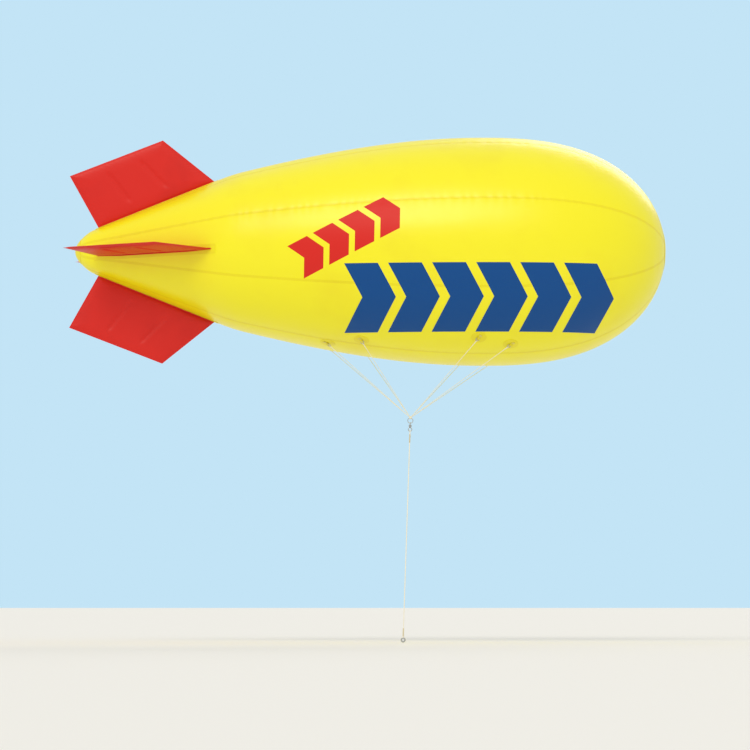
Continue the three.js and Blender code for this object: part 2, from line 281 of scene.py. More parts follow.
# %% [markdown]
# ## Steel, plastic and twine
# The rings and the swivel are stainless steel, tumbled in a drum until they are
# satin. The valve is moulded ABS, with the light grain of its spark-eroded mould.
# The whippings are waxed twine, whose fibres show as specks. These are all too
# fine for geometry, so each is one noise at the size of the mark or grain.

# %% Steel, plastic and twine materials
def steel_material():
    """Stainless steel with fine handling marks, 1 mm wide and 8 mm long."""
    material = new_material(
        "stainless_steel_tumbled", Base_Color=linear("#b9bcbe"), Metallic=1.0, Roughness=0.3)
    place = add_node(material, "TexCoord").outputs["Object"]
    drag = add_node(material, "Mapping", {"Scale": (900.0, 900.0, 120.0)}, {"Vector": place})
    marks = add_node(material, "TexNoise", {"Scale": 1.0, "Detail": 3.0},
                     {"Vector": drag.outputs["Vector"]})
    gloss = add_node(material, "MapRange", {"To Min": 0.22, "To Max": 0.42},
                     {"Value": marks.outputs["Fac"]})
    bump = add_node(material, "Bump", {"Strength": 0.15, "Distance": 0.1 * mm},
                    {"Height": marks.outputs["Fac"]})
    feed(material, "Roughness", gloss.outputs["Result"])
    feed(material, "Normal", bump.outputs["Normal"])
    return material


def plastic_material():
    """Moulded ABS with a light grain, about 1 mm a grain here."""
    material = new_material(
        "moulded_abs_white", Base_Color=linear("#e4e2da"), Roughness=0.46, IOR=1.53)
    place = add_node(material, "TexCoord").outputs["Object"]
    grain = add_node(material, "TexNoise", {"Scale": 900.0, "Detail": 2.0}, {"Vector": place})
    bump = add_node(material, "Bump", {"Strength": 0.2, "Distance": 0.2 * mm},
                    {"Height": grain.outputs["Fac"]})
    feed(material, "Normal", bump.outputs["Normal"])
    return material


def twine_material():
    """Waxed polyester twine: a dull shine, and fibres about 0.5 mm long."""
    material = new_material(
        "waxed_whipping_twine", Base_Color=linear("#e6dcba"), Roughness=0.5, Sheen_Weight=0.15)
    place = add_node(material, "TexCoord").outputs["Object"]
    fibres = add_node(material, "TexNoise", {"Scale": 2000.0, "Detail": 2.0}, {"Vector": place})
    shade = add_node(material, "Mix",
                     {"data_type": "RGBA", 6: linear("#cdbf95"), 7: linear("#efe7cc")},
                     {0: fibres.outputs["Fac"]})
    feed(material, "Base Color", shade.outputs[2])
    return material


steel = steel_material()
plastic = plastic_material()
twine = twine_material()
print("rigging materials:", steel.name, plastic.name, twine.name)

# %% [markdown]
# ## The hull's surface
# Every piece of film lies on one surface: a rounded tail, a straight cone, a long
# swell and a blunt nose, with the same driving sizes as the solids. Each piece
# could be shrunk onto the solids, but these have flat faces. A function of the
# station and the turn gives a smooth surface that all the pieces share.

# %% The hull's outline
LENGTH, RADIUS, WIDEST, CENTRE = 5.0, 0.967, 3.435, 2.95
CONE_START, CONE_SLOPE, CONE_END, CONE_END_SLOPE = 0.122, 0.4, 1.33, 0.25
TAIL_ROUNDING, NOSE_POWER, CONE_EASE = 0.158, 2.6, 0.1


def hull_radius(s):
    """The hull's radius at a station, measured from the tail tip."""
    # The bend between the cone and the swell is eased over 100 mm each way
    near = max(CONE_EASE - abs(s - CONE_END), 0)
    eased = (CONE_SLOPE - CONE_END_SLOPE) * near * near / (4 * CONE_EASE)
    if s <= CONE_END:
        u = 1 - min(max(s, 0) / TAIL_ROUNDING, 1)
        return (CONE_START + CONE_SLOPE * s) * math.sqrt(1 - u * u) - eased
    if s < WIDEST:
        h = WIDEST - CONE_END
        t = (s - CONE_END) / h
        start = CONE_START + CONE_SLOPE * CONE_END
        return ((2 * t**3 - 3 * t**2 + 1) * start + (t**3 - 2 * t**2 + t) * h * CONE_END_SLOPE
                + (3 * t**2 - 2 * t**3) * RADIUS) - eased
    u = min((s - WIDEST) / (LENGTH - WIDEST), 1)
    return RADIUS * math.sqrt(max(1 - u**NOSE_POWER, 0))


print("hull radius every metre:", [round(hull_radius(s), 3) for s in range(6)])

# %% The film's length along the outline
OUTLINE_STEPS = 4000
outline = [(0.0, 0.0)]
for i in range(1, OUTLINE_STEPS + 1):
    s = LENGTH * (1 - math.cos(math.pi * i / OUTLINE_STEPS)) / 2
    outline.append((s, hull_radius(s)))
film_run = [0.0]
for a, b in zip(outline, outline[1:]):
    film_run.append(film_run[-1] + math.dist(a, b))
FILM_LENGTH = film_run[-1]


def station_at(distance):
    """The station at a distance along the film from the tail tip."""
    low = min(max(bisect_right(film_run, distance) - 1, 0), OUTLINE_STEPS - 1)
    share = (distance - film_run[low]) / max(film_run[low + 1] - film_run[low], 1e-12)
    return outline[low][0] + share * (outline[low + 1][0] - outline[low][0])


print("film from tail to nose:", round(FILM_LENGTH, 3), "m")

# %% [markdown]
# ## Lobes and puckers
# Gas pressure swells each gore between its seams, and the seams, which can't
# stretch, draw up into small puckers. A cloth simulation would give such folds but
# would blow the hull off its outline, so a rounded lobe and a beat of fine waves
# are added to the surface. Both fade towards the poles.

# %% The surface as a function
GORES, LOBE_DEPTH, LOBE_FADE = 8, 0.006, 0.3
PUCKER, PUCKER_PITCH, PUCKER_REACH, PUCKER_FADE = 1.7 * mm, 85 * mm, 30 * mm, 0.25
# Puckers lie mostly under the film. Their beat drifts by up to 5 radians, 7 times a
# metre, and each seam reads its own stretch of the noise
PUCKER_SINK, DRIFT, DRIFT_RATE, SEAM_STRIDE = 0.6, 5, 7, 3.1
GORE_TURN = 360 / GORES
# The slope taken at a pole, where the outline stands upright
STEEP = 1e6


def seam_share(turn):
    """0 in the middle of a gore and 1 on a seam; turn is 0 at port and 90 on top."""
    gore = turn / GORE_TURN
    return 2 * abs(gore - round(gore))


def off_seam(turn, radius):
    """The distance round the hull to the nearest seam."""
    return (1 - seam_share(turn)) * math.pi / GORES * radius


def lobed_radius(s, turn):
    """The radius with the gores' lobes."""
    r = hull_radius(s)
    return r * (1 - LOBE_DEPTH * seam_share(turn) ** 2 * min(r / LOBE_FADE, 1))


def on_film(s, turn, lift=0.0):
    """A point on the film, or above it by lift."""
    r = lobed_radius(s, turn)
    step = min(1 * mm, s / 2, (LENGTH - s) / 2)
    slope = STEEP if s < CENTRE else -STEEP
    if step > 1e-9:
        slope = (hull_radius(s + step) - hull_radius(s - step)) / (2 * step)
    lean = math.hypot(1, slope)
    # Puckers are strongest on a seam, and their beat drifts along it
    size = PUCKER * math.exp(-off_seam(turn, r) / PUCKER_REACH) * min(r / PUCKER_FADE, 1)
    seam = round(turn % 360 / GORE_TURN - 0.5)
    drift = DRIFT * noise(Vector((s * DRIFT_RATE, seam * SEAM_STRIDE, 0)))
    lift += size * (math.sin(2 * math.pi * s / PUCKER_PITCH + drift) - PUCKER_SINK)
    a = math.radians(turn)
    out = r + lift / lean
    return Vector((s - CENTRE - lift * slope / lean, out * math.cos(a), out * math.sin(a)))


print("widest point of the film:", [round(value, 3) for value in on_film(WIDEST, 0)])

# %% [markdown]
# ## Modelling helpers
# Each piece begins as a primitive. An operator acts on all that is selected, so
# everything is deselected first. By hand this is a few clicks, and in a script it
# is easily forgotten, so the helpers do it every time.

# %% Select, add and edit
def only(piece):
    """Selects one piece alone and makes it active."""
    bpy.ops.object.select_all(action="DESELECT")
    piece.select_set(True)
    bpy.context.view_layer.objects.active = piece


def primitive(add, name, **sizes):
    """Adds a primitive with nothing else selected, and names it."""
    bpy.ops.object.select_all(action="DESELECT")
    add(**sizes)
    piece = bpy.context.object
    piece.name = piece.data.name = name
    return piece


def edit(piece):
    """Takes one piece into edit mode with all of it selected."""
    only(piece)
    bpy.ops.object.mode_set(mode="EDIT")
    bpy.ops.mesh.select_all(action="SELECT")


# %% Shape, clean and finish
def use(piece, kind, **settings):
    """Adds a modifier, sets it up and applies it."""
    only(piece)
    modifier = piece.modifiers.new(kind.lower(), kind)
    for name, value in settings.items():
        setattr(modifier, name, value)
    bpy.ops.object.modifier_apply(modifier=modifier.name)
    return piece


def clean(piece, distance=0.01 * mm, close=0):
    """Merges doubled corners, closes holes of up to so many sides, and turns the faces out."""
    edit(piece)
    bpy.ops.mesh.remove_doubles(threshold=distance)
    if close:
        bpy.ops.mesh.fill_holes(sides=close)
        bpy.ops.mesh.select_all(action="SELECT")
    bpy.ops.mesh.normals_make_consistent(inside=False)
    bpy.ops.object.mode_set(mode="OBJECT")
    return piece


def finish(piece, material, body, replaces=(), smooth=35):
    """Smooths, paints and hands a finished piece to its body."""
    only(piece)
    bpy.ops.object.transform_apply(location=True, rotation=True, scale=True)
    bpy.ops.object.shade_smooth_by_angle(angle=math.radians(smooth))
    piece.data.materials.clear()
    piece.data.materials.append(material)
    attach(piece, body)
    if replaces:
        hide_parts(*replaces)
    return piece


# %% [markdown]
# ## Laying film on the hull
# A sheet of film starts as a flat grid, the pattern piece on the cutting table,
# and is then laid on the hull corner by corner. A flat piece could be wrapped
# with a modifier too, but then its size as cut would be lost. Its place on the
# table stays as its UV map, so the woven scrim runs true along every piece.

# %% Film sheets
# Real film is 0.2 mm thick. It is drawn thicker, and the extra wall lies inside
HULL_WALL = 2 * mm


def grid(name, x_steps, y_steps):
    """A flat unit grid from -0.5 to 0.5 each way."""
    return primitive(bpy.ops.mesh.primitive_grid_add, name,
                     x_subdivisions=x_steps, y_subdivisions=y_steps, size=1)


def lay(piece, place, cut=None):
    """Moves each corner of a flat piece to place(x, y, z).

    cut(x, y) is the corner's place on the cutting table in metres, kept as UV.
    """
    if cut:
        marks = piece.data.uv_layers.active.data
        for loop in piece.data.loops:
            corner = piece.data.vertices[loop.vertex_index].co
            marks[loop.index].uv = cut(corner.x, corner.y)
    for corner in piece.data.vertices:
        corner.co = place(*corner.co)
    piece.data.update()
    return piece


def film(name, x_steps, y_steps, place, thick, cut):
    """A sheet on the hull: place gives its outer side, and the wall lies inside."""
    sheet = clean(lay(grid(name, x_steps, y_steps), place, cut))
    middle = sheet.data.polygons[len(sheet.data.polygons) // 2]
    if middle.normal.dot(middle.center) < 0:
        edit(sheet)
        bpy.ops.mesh.flip_normals()
        bpy.ops.object.mode_set(mode="OBJECT")
    return use(sheet, "SOLIDIFY", thickness=thick, offset=-1)


print("hull wall:", round(HULL_WALL / mm, 1), "mm, all of it inside the outline")

# %% [markdown]
# ## Gores
# A gore is a long leaf of film. It is cut flat, and it takes its shape from the
# gas. A sphere drawn out to a teardrop would have no seams, so each gore is a
# sheet of its own. Its grid is finer across near the seams, where the puckers are.

# %% Lay the eight gores
POLE_HOLE = 0.06
START, END = POLE_HOLE, FILM_LENGTH - POLE_HOLE
# Gores and bands share their steps along the hull, so that one follows the other
STEPS_ALONG = 330


def gore_at(turn):
    """The name of the gore at a turn; the first is the belly's."""
    return f"film_gore_{round((turn + 90) / 360 * GORES) % GORES + 1}"


def gore_corner(x, y):
    """Distance along the film, station, and degrees from the gore's middle."""
    run = START + (END - START) * (x + 0.5)
    return run, station_at(run), GORE_TURN / 2 * math.sin(math.pi * y)


def gore_cut(x, y):
    """The same corner on the cutting table."""
    run, s, aside = gore_corner(x, y)
    return run, math.radians(aside) * hull_radius(s)


def make_gore(k):
    """One gore; k counts round from the belly."""
    turn = GORE_TURN * k - 90

    def place(x, y, z):
        run, s, aside = gore_corner(x, y)
        return on_film(s, turn + aside)
    gore = film(gore_at(turn), STEPS_ALONG, 24, place, HULL_WALL, gore_cut)
    return finish(gore, yellow_film, "balloon", [f"gore_{k + 1}"], smooth=50)


gores = [make_gore(k) for k in range(GORES)]
print("gores:", len(gores), "faces in each:", len(gores[0].data.polygons))

# %% [markdown]
# ## Seam bands
# Neighbouring gores are butted and welded under a band of the same film, 22 mm
# wide. It is a hair proud of the hull, and its two edges are what the eye sees. A
# line in the material would have no edge, so the band is a thin sheet.

# %% Weld the bands over the seams
BAND_WIDTH, BAND_TOP = 22 * mm, 0.8 * mm
AREA_STEPS = 400
GORE_AREA = sum((END - START) / AREA_STEPS * 2 * math.pi / GORES
                * hull_radius(station_at(START + (END - START) * (i + 0.5) / AREA_STEPS))
                for i in range(AREA_STEPS))


def sized(length, width):
    """A plain cut: a flat piece of this length and width."""
    return lambda x, y: (x * length, y * width)


def make_band(k):
    """The band over the seam that follows gore k."""
    middle = GORE_TURN * (k + 0.5) - 90

    def place(x, y, z):
        s = station_at(START + (END - START) * (x + 0.5))
        return on_film(s, middle + math.degrees(y * BAND_WIDTH / hull_radius(s)), BAND_TOP)
    band = film(f"seam_band_{k + 1}", STEPS_ALONG, 4, place, BAND_TOP,
                sized(FILM_LENGTH, BAND_WIDTH))
    return finish(band, double_film, "balloon", smooth=40)


for k, gore in enumerate(gores):
    make_band(k)

# %% [markdown]
# ## Pole doublers
# The gores' points come together at the nose and the tail, where a round doubler
# covers them. A disc of triangles would pinch at its middle, so a grid is wound
# up: one side becomes the radius, the other the turn, and the doubled corners at
# the middle and along the join are merged. A weld groove runs round near the rim.

# %% Cover the poles
DOUBLER_TOP, DOUBLER_WALL = 2.6 * mm, 2.4 * mm
# Where the weld groove is, in from the rim, and its width and depth
DOUBLER_WELD, DOUBLER_GROOVE = 9 * mm, (2.2 * mm, 0.35 * mm)


def dip(away, width, depth):
    """How deep a rounded groove is at a distance from its middle line."""
    return depth * math.exp(-(away / width) ** 2)


def wound(radius, x, y):
    """The place on a wound-up disc: distance from the middle, and two lengths."""
    run, angle = radius * (x + 0.5), 2 * math.pi * y
    return run, run * math.cos(angle), run * math.sin(angle)


def doubler(name, radius, at_nose, node):
    """A round sheet over one pole."""
    def place(x, y, z):
        run = radius * (x + 0.5)
        s = station_at(FILM_LENGTH - run if at_nose else run)
        groove = dip(run - radius + DOUBLER_WELD, *DOUBLER_GROOVE)
        return on_film(s, 360 * y, DOUBLER_TOP - groove)

    disc = film(name, 40, 96, place, DOUBLER_WALL, lambda x, y: wound(radius, x, y)[1:])
    finish(disc, double_film, "balloon", [node])


doubler("nose_doubler", radius=0.15, at_nose=True, node="nose_cap")
doubler("tail_doubler", radius=0.118, at_nose=False, node="tail_cap")

# %% [markdown]
# ## Fins
# A fin is two sheets of red film welded round a four-sided edge and blown up
# like a cushion. The welded edge stays flat for 14 mm, then the film rises fast.
# Two line welds from near the root to near the tip keep it from turning round. A
# simulated pillow of this size swells several times too thick, so the thickness
# is a function of the distance from the edge and from the line welds.

# %% Fin sizes and places
FIN_ROOT_FRONT, FIN_ROOT_REAR = 1.179, 0.195
FIN_TIP_FRONT, FIN_TIP_REAR = (0.738, 0.95), (-0.051, 0.645)
FIN_CHORD, FIN_SPAN = 0.85, 0.72
SIDE_DROP, SIDE_RISE = 60 * mm, 3
STRIP_TOP, FIN_LIFT = 3.0 * mm, 0.6 * mm
# Name, turn about the hull's axis in degrees, drop below the hull's middle
FINS = [("top", 0, 0), ("starboard", 90 - SIDE_RISE, SIDE_DROP), ("bottom", 180, 0),
        ("port", 270 + SIDE_RISE, SIDE_DROP)]


def turned(turn, drop, x, aside, out):
    """From a fin's own lengthwise, sideways and outward sizes to the frame."""
    a = math.radians(turn)
    return Vector((x, aside * math.cos(a) - out * math.sin(a),
                   aside * math.sin(a) + out * math.cos(a) - drop))


def film_out(s, aside, turn, drop, lift):
    """How far out the film is along a fin's own plane, at a sideways place."""
    a = math.radians(turn)
    r = hull_radius(s)
    # The round hull gives the first place, and the lobe there the second
    for attempt in range(2):
        level = drop * math.cos(a)
        room = level**2 + r**2 + 2 * drop * aside * math.sin(a) - aside**2 - drop**2
        out = level + math.sqrt(max(room, 0))
        place = turned(turn, drop, 0, aside, out)
        r = lobed_radius(s, math.degrees(math.atan2(place.z, place.y)))
    return out + lift * math.hypot(1, CONE_SLOPE)


def fin_line(u, turn, drop):
    """The line from root to tip at a share u of the chord: root station, root
    distance out, and how far it leans forward for each metre out."""
    s0 = FIN_ROOT_REAR + (FIN_ROOT_FRONT - FIN_ROOT_REAR) * u
    r0 = film_out(s0, 0, turn, drop, STRIP_TOP + FIN_LIFT)
    s1, r1 = [a + (b - a) * u for a, b in zip(FIN_TIP_REAR, FIN_TIP_FRONT)]
    return s0, r0, (s1 - s0) / (r1 - r0)


print("fin root from", FIN_ROOT_REAR, "to", FIN_ROOT_FRONT, "m forward of the tail tip")

# %% Shape the fins
FIN_EDGE, FIN_FULL = 1.6 * mm, 33 * mm
WELD_EDGE, FIN_SHOULDER = 14 * mm, 150 * mm
# The line welds' shares of the chord, their ends as shares of the span, and how
# far they pinch the pillow
LINE_WELDS, LINE_FROM, LINE_TO, LINE_FADE = (0.34, 0.67), 0.16, 0.86, 0.14
LINE_WIDTH, LINE_PINCH = 18 * mm, 0.5
RIPPLE, RIPPLE_REACH, RIPPLE_PITCH, RIPPLE_DRIFT = 1.4 * mm, 38 * mm, 48 * mm, 4
# Ripples are full from an eighth of the shoulder on, and their beat changes so many
# times along the chord and up the span
RIPPLE_GROWTH, RIPPLE_ALONG, RIPPLE_UP = 8, 8, 7


def smooth_step(share):
    """0 to 1 with soft ends."""
    share = min(max(share, 0), 1)
    return share * share * (3 - 2 * share)


def fin_half(u, v):
    """Half the thickness at a share u of the chord and v of the span."""
    edge = min(u * FIN_CHORD, (1 - u) * FIN_CHORD, (1 - v) * FIN_SPAN, v * FIN_SPAN)
    inside = max(edge - WELD_EDGE, 0)
    rise = min(inside / FIN_SHOULDER, 1)
    full = math.sqrt(1 - (1 - rise) ** 2)
    pinch = LINE_PINCH * smooth_step(min(v - LINE_FROM, LINE_TO - v) / LINE_FADE)
    for line in LINE_WELDS:
        full *= 1 - dip((u - line) * FIN_CHORD, LINE_WIDTH, pinch)
    # The film puckers just inside the welded edge
    around = (u * FIN_CHORD + v * FIN_SPAN) / RIPPLE_PITCH
    drift = RIPPLE_DRIFT * noise(Vector((u * RIPPLE_ALONG, v * RIPPLE_UP, 0)))
    ripple = RIPPLE * math.exp(-inside / RIPPLE_REACH) * min(rise * RIPPLE_GROWTH, 1)
    ripple *= math.sin(2 * math.pi * around + drift)
    return (FIN_EDGE + (FIN_FULL - FIN_EDGE) * full + ripple) / 2


def make_fin(name, turn, drop):
    """A pillow from a thick flat grid; its two faces go to the two sides."""
    def place(x, y, z):
        u, v = x + 0.5, y + 0.5
        s, r, lean = fin_line(u, turn, drop)
        tip = FIN_TIP_REAR[1] + (FIN_TIP_FRONT[1] - FIN_TIP_REAR[1]) * u
        aside = fin_half(u, v) * (1 if z > 0 else -1)
        out = (tip - r) * v
        return turned(turn, drop, s + lean * out - CENTRE, aside, r + out)

    slab = use(grid(f"fin_pillow_{name}", 120, 90), "SOLIDIFY", thickness=0.5, offset=0)
    fin = clean(lay(slab, place, sized(FIN_CHORD, FIN_SPAN)))
    finish(fin, red_film, "balloon", [f"fin_{name}"])
    return fin


fins = [make_fin(name, turn, drop) for name, turn, drop in FINS]
print("fins:", len(fins), "faces in each:", len(fins[0].data.polygons))

# %% [markdown]
# ## Fin roots
# A fin can't be welded to the hull edge on. A yellow root strip spreads its pull
# over the hull, and a pair of red angle tapes, one each side, holds its edge. The
# tapes' feet taper towards both ends, because a square end would start to peel.
# Both are flat grids laid in place, since a bent solid would hide the hull's curve.

# %% Root strips
STRIP_FROM, STRIP_LENGTH, STRIP_WIDTH = 0.172, 1.04, 80 * mm
STRIP_WALL, STRIP_WELD, STRIP_GROOVE = 2.6 * mm, 34 * mm, (1.6 * mm, 0.5 * mm)


def make_strip(name, turn, drop):
    """A root strip, with a weld groove near each long edge."""
    def place(x, y, z):
        s = STRIP_FROM + STRIP_LENGTH * (x + 0.5)
        aside = STRIP_WIDTH * y
        groove = dip(abs(aside) - STRIP_WELD, *STRIP_GROOVE)
        return turned(turn, drop, s - CENTRE - CONE_SLOPE * STRIP_TOP, aside,
                      film_out(s, aside, turn, drop, STRIP_TOP - groove))

    strip = film(f"root_strip_{name}", 80, 40, place, STRIP_WALL, sized(STRIP_LENGTH, STRIP_WIDTH))
    return finish(strip, double_film, "balloon", [f"fin_root_{name}"])


strips = [make_strip(name, turn, drop) for name, turn, drop in FINS]
print("root strips:", len(strips))

# %% Angle tapes
TAPE_FOOT, TAPE_UP, TAPE_BEND, TAPE_THICK = 14 * mm, 13 * mm, 3 * mm, 0.9 * mm
TAPE_END, TAPE_TAPER, TAPE_INSET, TAPE_LIFT = 4 * mm, 180 * mm, 0.006, 0.7 * mm
TAPE_LENGTH, GAP = 1.0, 0.1 * mm


def joined(name, pieces):
    """Several shapes as one piece."""
    bpy.ops.object.select_all(action="DESELECT")
    for piece in pieces:
        piece.select_set(True)
    bpy.context.view_layer.objects.active = pieces[0]
    bpy.ops.object.join()
    made = bpy.context.object
    made.name = made.data.name = name
    return made


def tape_path(run):
    """Sideways and upward place across a tape, from its foot to its upper edge."""
    turn_run = TAPE_BEND * math.pi / 4
    if run < -turn_run:
        return TAPE_BEND - run - turn_run, 0
    if run > turn_run:
        return 0, TAPE_BEND + run - turn_run
    w = (run + turn_run) / TAPE_BEND
    return TAPE_BEND * (1 - math.sin(w)), TAPE_BEND * (1 - math.cos(w))


def angle_tape(turn, drop, side):
    """A tape that lies on the strip, bends, and climbs the side of the fin."""
    def place(x, y, z):
        u = TAPE_INSET + (1 - 2 * TAPE_INSET) * (x + 0.5)
        full = min(min(u, 1 - u) * FIN_CHORD / TAPE_TAPER, 1)
        foot = TAPE_END + (TAPE_FOOT - TAPE_END) * full
        aside, rise = tape_path((foot + TAPE_UP) * (y + 0.5) - foot)
        aside += fin_half(u, rise / FIN_SPAN) + TAPE_THICK / 2 + GAP
        s, r, lean = fin_line(u, turn, drop)
        out = film_out(s, side * aside, turn, drop, STRIP_TOP + TAPE_LIFT) + rise
        return turned(turn, drop, s + lean * rise - CENTRE, side * aside, out)

    tape = lay(grid("tape", 80, 16), place, sized(TAPE_LENGTH, TAPE_FOOT + TAPE_UP))
    return clean(use(tape, "SOLIDIFY", thickness=TAPE_THICK, offset=0))


for (name, turn, drop), strip in zip(FINS, strips):
    pair = joined(f"angle_tapes_{name}", [angle_tape(turn, drop, side) for side in (-1, 1)])
    finish(pair, red_film, "balloon")

# %% [markdown]
# ## Arrow bands on the flanks
# A tilted row of red arrowheads and a level row of blue ones run along both
# flanks. Each is cut from thin printed film and welded on over the seams. Drawn as
# colour on the gores, their edges would step from face to face. A flat grid that
# is drawn out to an arrowhead keeps them sharp, and it is then laid on the hull.

# %% Lay the arrowheads
PRINT_TOP, BAND_RISE = 0.5 * mm, 1.12 * mm
# A print climbs over a seam band along its skirt, and is up just inside the band's edge
BAND_SKIRT, BAND_OVERLAP = 6 * mm, 1 * mm
PRINT_STEP_LONG, PRINT_STEP_HIGH = 20 * mm, 11 * mm
SIDES = [("stbd", -1), ("port", 1)]
# Name, ink, middle from the origin, count, length and height, gap, point, tilt in degrees
ARROW_ROWS = [
    ("arrows_blue", blue_ink, (0.455, -0.45), 6, (2.24, 0.55), 85 * mm, 150 * mm, 0),
    ("arrows_red", red_ink, (-0.635, 0.06), 4, (0.97, 0.3), 55 * mm, 80 * mm, 27)]


def band_rise(s, turn):
    """How far a seam band lifts what lies over it, with its edges softened."""
    skirt_end = BAND_WIDTH / 2 - BAND_OVERLAP + BAND_SKIRT
    inside = skirt_end - off_seam(turn, hull_radius(s))
    return BAND_RISE * smooth_step(inside / BAND_SKIRT)


def arrow_row(name, ink, centre, count, size, gap, point, tilt, side):
    """A row on one flank, as one piece."""
    length, height = size
    width = (length - point - gap * (count - 1)) / count
    lean = math.radians(tilt)
    under = set()

    def arrow(i):
        left = i * (width + gap) - length / 2

        def place(x, y, z):
            px = left + (x + 0.5) * width + point * (1 - 2 * abs(y))
            py = y * height
            s = CENTRE + centre[0] + px * math.cos(lean) - py * math.sin(lean)
            high = centre[1] + px * math.sin(lean) + py * math.cos(lean)
            angle = math.degrees(math.asin(high / hull_radius(s)))
            turn = angle if side > 0 else 180 - angle
            under.add(gore_at(turn))
            return on_film(s, turn, PRINT_TOP + band_rise(s, turn))
        return film("arrow", round(width / PRINT_STEP_LONG), 2 * round(height / PRINT_STEP_HIGH),
                    place, PRINT_TOP, sized(width, height))

    row = joined(name, [arrow(i) for i in range(count)])
    finish(row, ink, "balloon")
    # The flank curves away from the eye, so the film is cut taller than it looks
    low, top = [math.asin((centre[1] + end * height / 2) / RADIUS) for end in (-1, 1)]
    cut_height = RADIUS * (top - low)
    print(name, "as cut:", length, "x", round(cut_height, 3), "m")


for label, side in SIDES:
    for name, *values in ARROW_ROWS:
        arrow_row(f"{name}_{label}", *values, side)

# %% [markdown]
# ## Rigging points
# The cords' ends come from the same few sizes as the solids: four load points a
# side, and a knot just above the ring. The line of the tether leans a little
# aft, so everything below the ring is built along that line. Each load point is
# worked out once and kept with its directions, for the patch and for the cord.

# %% Work out the rigging
RING = Vector((2.839 - CENTRE, 0, -1.433))
FOOT = Vector((2.776 - CENTRE, 0, -3.306))
DOWN = (FOOT - RING).normalized()
KNOT_RISE = 24 * mm
KNOT = RING - DOWN * KNOT_RISE
DEE_RADIUS, DEE_WIRE, DEE_LIFT = 15 * mm, 2.5 * mm, 9 * mm
# Name, station from the tail tip, degrees from the keel
LOADS = [("aft", 2.142, 17.9), ("mid_aft", 2.427, 27.9), ("mid_fore", 3.402, 37.2),
         ("fore", 3.669, 31.5)]
LoadPoint = namedtuple("LoadPoint", "name station turn spot normal pull across flat rim")
# How far out of the film, or along it, a direction is measured
PROBE = 10 * mm


def outward(s, turn):
    """The direction straight out of the film at a place."""
    return (on_film(s, turn, PROBE) - on_film(s, turn)).normalized()


def load_point(name, s, from_keel, side):
    """The spot on the film, the ways out, along the pull, across it and along the
    film under it, and the far rim of the dee."""
    turn = -90 + side * from_keel
    spot = on_film(s, turn)
    normal = outward(s, turn)
    pull = (KNOT - spot - normal * DEE_LIFT).normalized()
    across = normal.cross(pull).normalized()
    rim = spot + normal * DEE_LIFT + pull * 2 * DEE_RADIUS
    return LoadPoint(name, s, turn, spot, normal, pull, across, across.cross(normal), rim)


loads = [load_point(f"{name}_{label}", s, from_keel, side)
         for label, side in SIDES for name, s, from_keel in LOADS]
for load in loads[:len(LOADS)]:
    print("dee to knot,", load.name, round((KNOT - load.rim).length, 3), "m")

# %% [markdown]
# ## Load patches
# A load patch is a round doubler with a keeper of folded webbing sewn on, and a
# welded steel dee in the fold. The patch spreads the pull of one cord over the
# thin film. Its two weld rings and the keeper's box of stitches show close by, so
# they are geometry. The dees are alike, so one is modelled and then copied.

# %% The discs
PATCH, DISC_TOP, DISC_WALL = 65 * mm, 3.2 * mm, 2.8 * mm
DISC_WELDS, DISC_GROOVE = (50 * mm, 59 * mm), (1.5 * mm, 0.5 * mm)
DISC_BEVEL, DISC_THIN = 3 * mm, 1.2 * mm


def patch_disc(load):
    """A round sheet on the belly, with two weld rings and a thin rim."""
    fore_and_aft = [hull_radius(load.station + PROBE), hull_radius(load.station - PROBE)]
    lean = math.hypot(1, (fore_and_aft[0] - fore_and_aft[1]) / (2 * PROBE))

    def place(x, y, z):
        run, a, b = wound(PATCH, x, y)
        s = load.station + a / lean
        grooves = sum(dip(run - weld, *DISC_GROOVE) for weld in DISC_WELDS)
        rim = DISC_THIN * max(0, (run - PATCH + DISC_BEVEL) / DISC_BEVEL)
        return on_film(s, load.turn + math.degrees(b / hull_radius(s)), DISC_TOP - grooves - rim)
    disc = film(f"load_disc_{load.name}", 44, 48, place, DISC_WALL,
                lambda x, y: wound(PATCH, x, y)[1:])
    return finish(disc, double_film, "balloon", [f"patch_{load.name}"])


discs = [patch_disc(load) for load in loads]
print("load discs:", len(discs))

# %% The webbing keepers
WEB_WIDTH, WEB_THICK, WEB_LENGTH, KEEPER_TAIL = 26 * mm, 1.6 * mm, 84 * mm, 40 * mm
# Where the webbing leaves the disc, the share of it each way that turns round the
# bar, and the distance of that bar from the dee's middle
KEEPER_LEAVES, KEEPER_FOLD, DEE_BAR = -20 * mm, 0.08, 9.3 * mm


